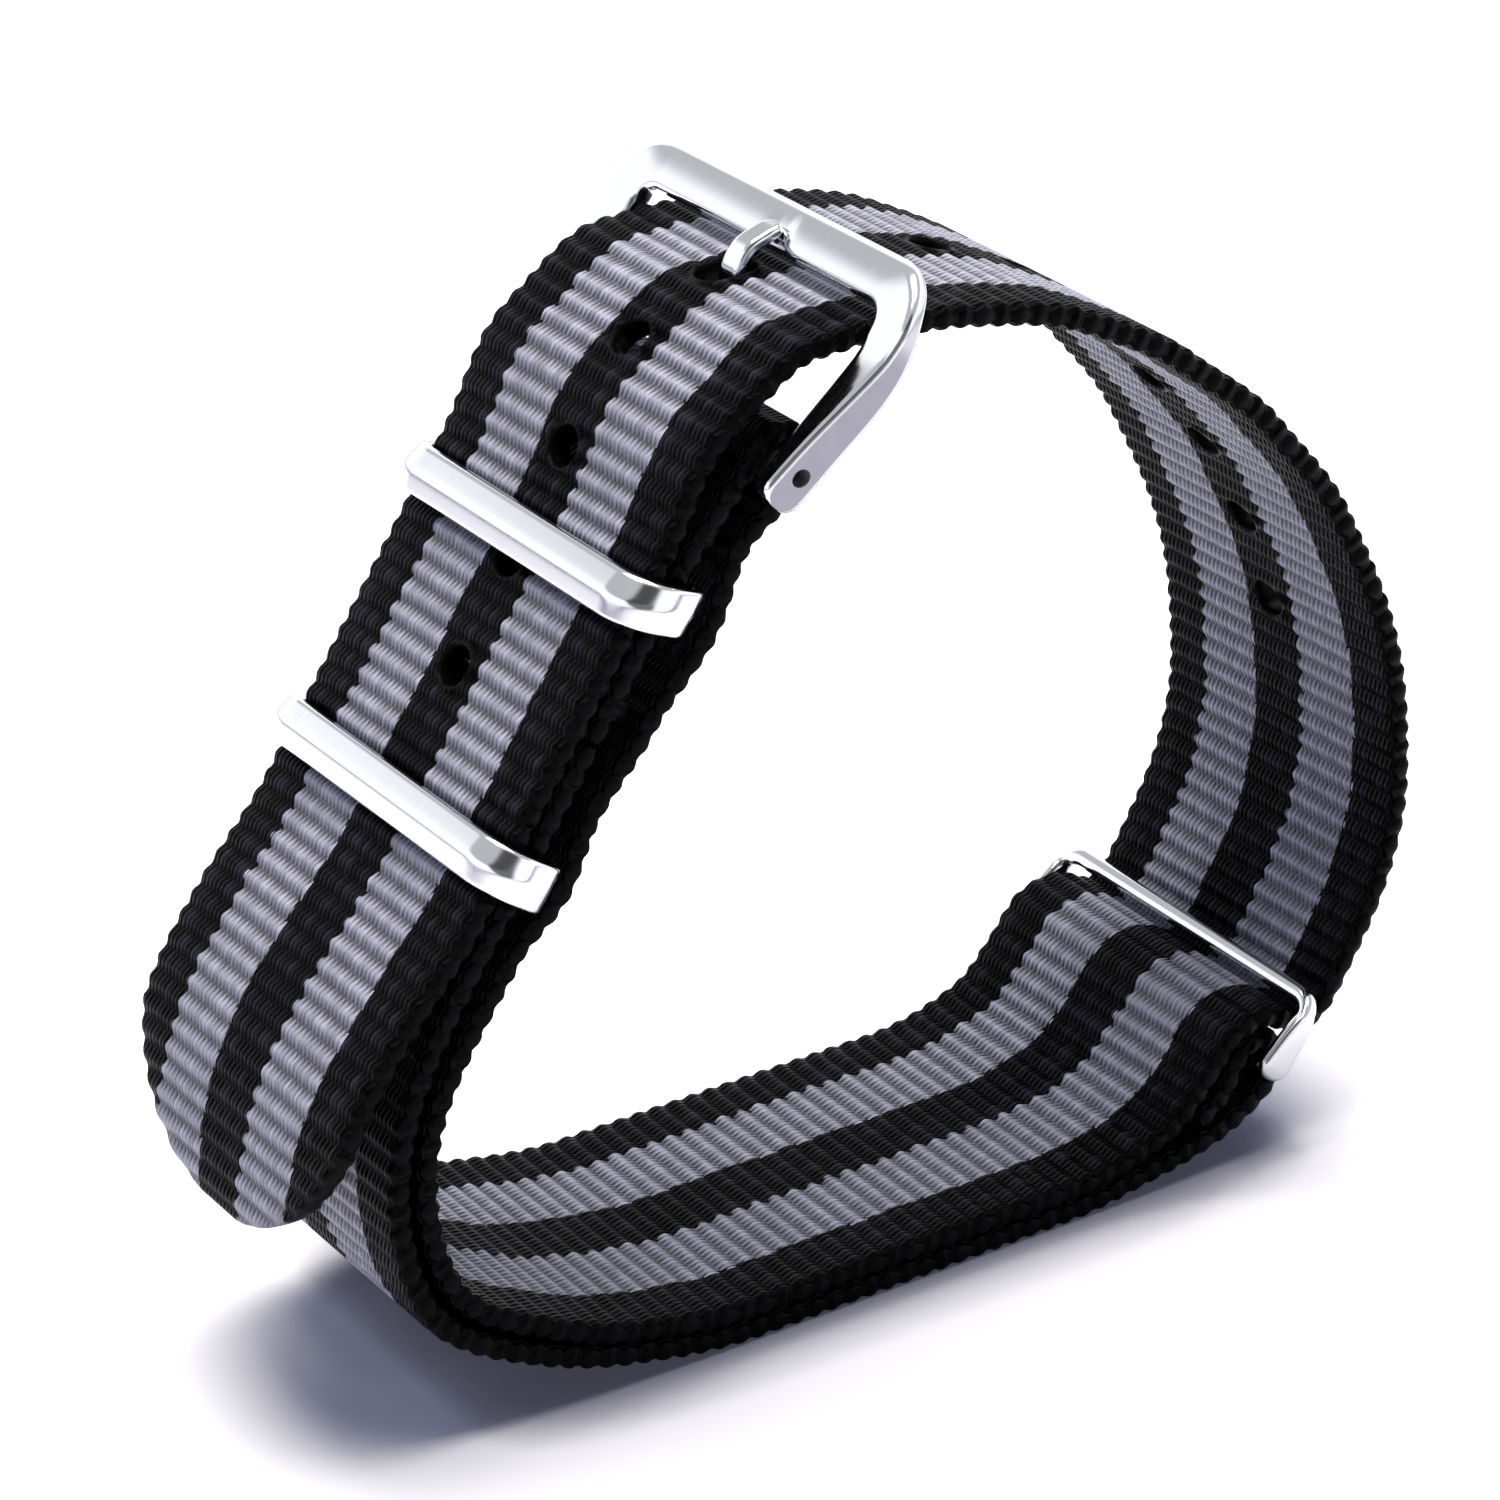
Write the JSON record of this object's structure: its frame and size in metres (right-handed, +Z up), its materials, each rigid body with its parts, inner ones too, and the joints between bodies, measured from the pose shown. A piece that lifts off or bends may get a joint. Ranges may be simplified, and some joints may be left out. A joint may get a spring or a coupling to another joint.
{
  "type": "watch strap",
  "caption": "Striped nylon watch strap of the pull-through kind, buckled into a loop, with pin buckle, two keepers and an end ring.",
  "frame": {"origin": "on the flat of the bottom run, below the middle of the loop's length and in the middle of the strap's width", "axes": "+X along the loop, from the buckled side to the plain side; +Y across the strap's width; +Z up, from the bottom run to the buckle"},
  "size_m": [0.0699, 0.026, 0.0591],
  "materials": {
    "striped_webbing": "ribbed nylon webbing, black with two grey stripes",
    "polished_steel": "polished stainless steel",
    "plain_steel": "turned stainless steel"
  },
  "bodies": {
    "strap": {"long_strap": "striped_webbing", "short_strap": "striped_webbing", "spring_bar_tube": "plain_steel", "spring_bar_spring": "plain_steel"},
    "buckle": {"buckle_frame": "polished_steel"},
    "tongue": {"buckle_tongue": "polished_steel"},
    "tip_near": {"spring_bar_tip_near": "plain_steel"},
    "tip_far": {"spring_bar_tip_far": "plain_steel"},
    "keeper_upper": {"upper_keeper": "polished_steel"},
    "keeper_lower": {"lower_keeper": "polished_steel"},
    "ring": {"end_ring": "polished_steel"}
  },
  "joints": [
    {"name": "buckle_swing", "type": "hinge", "parent": "strap", "child": "buckle", "pos_m": [-0.0077, 0, 0.0499], "axis": [0, -1, 0], "range_deg": [-1, 3.5]},
    {"name": "tongue_swing", "type": "hinge", "parent": "buckle", "child": "tongue", "pos_m": [-0.0077, 0, 0.0499], "axis": [0, -1, 0], "range_deg": [0, 2.5]},
    {"name": "tip_near_press", "type": "slide", "parent": "strap", "child": "tip_near", "axis": [0, 1, 0], "range_m": [0, 0.0008], "stiffness_N_per_m": 800, "springref_m": -0.0004, "deforming": ["spring_bar_spring"]},
    {"name": "tip_far_press", "type": "slide", "parent": "strap", "child": "tip_far", "axis": [0, -1, 0], "range_m": [0, 0.0008], "stiffness_N_per_m": 800, "springref_m": -0.0004, "deforming": ["spring_bar_spring"]},
    {"name": "upper_keeper_play", "type": "slide", "parent": "strap", "child": "keeper_upper", "axis": [-0.5534, 0, -0.8329], "range_m": [-0.0006, 0.0012]},
    {"name": "lower_keeper_play", "type": "slide", "parent": "strap", "child": "keeper_lower", "axis": [-0.5534, 0, -0.8329], "range_m": [-0.0012, 0.0012]},
    {"name": "ring_swing", "type": "hinge", "parent": "strap", "child": "ring", "pos_m": [0.025, 0, 0.00595], "axis": [0, -1, 0], "range_deg": [-8, 30]}
  ]
}
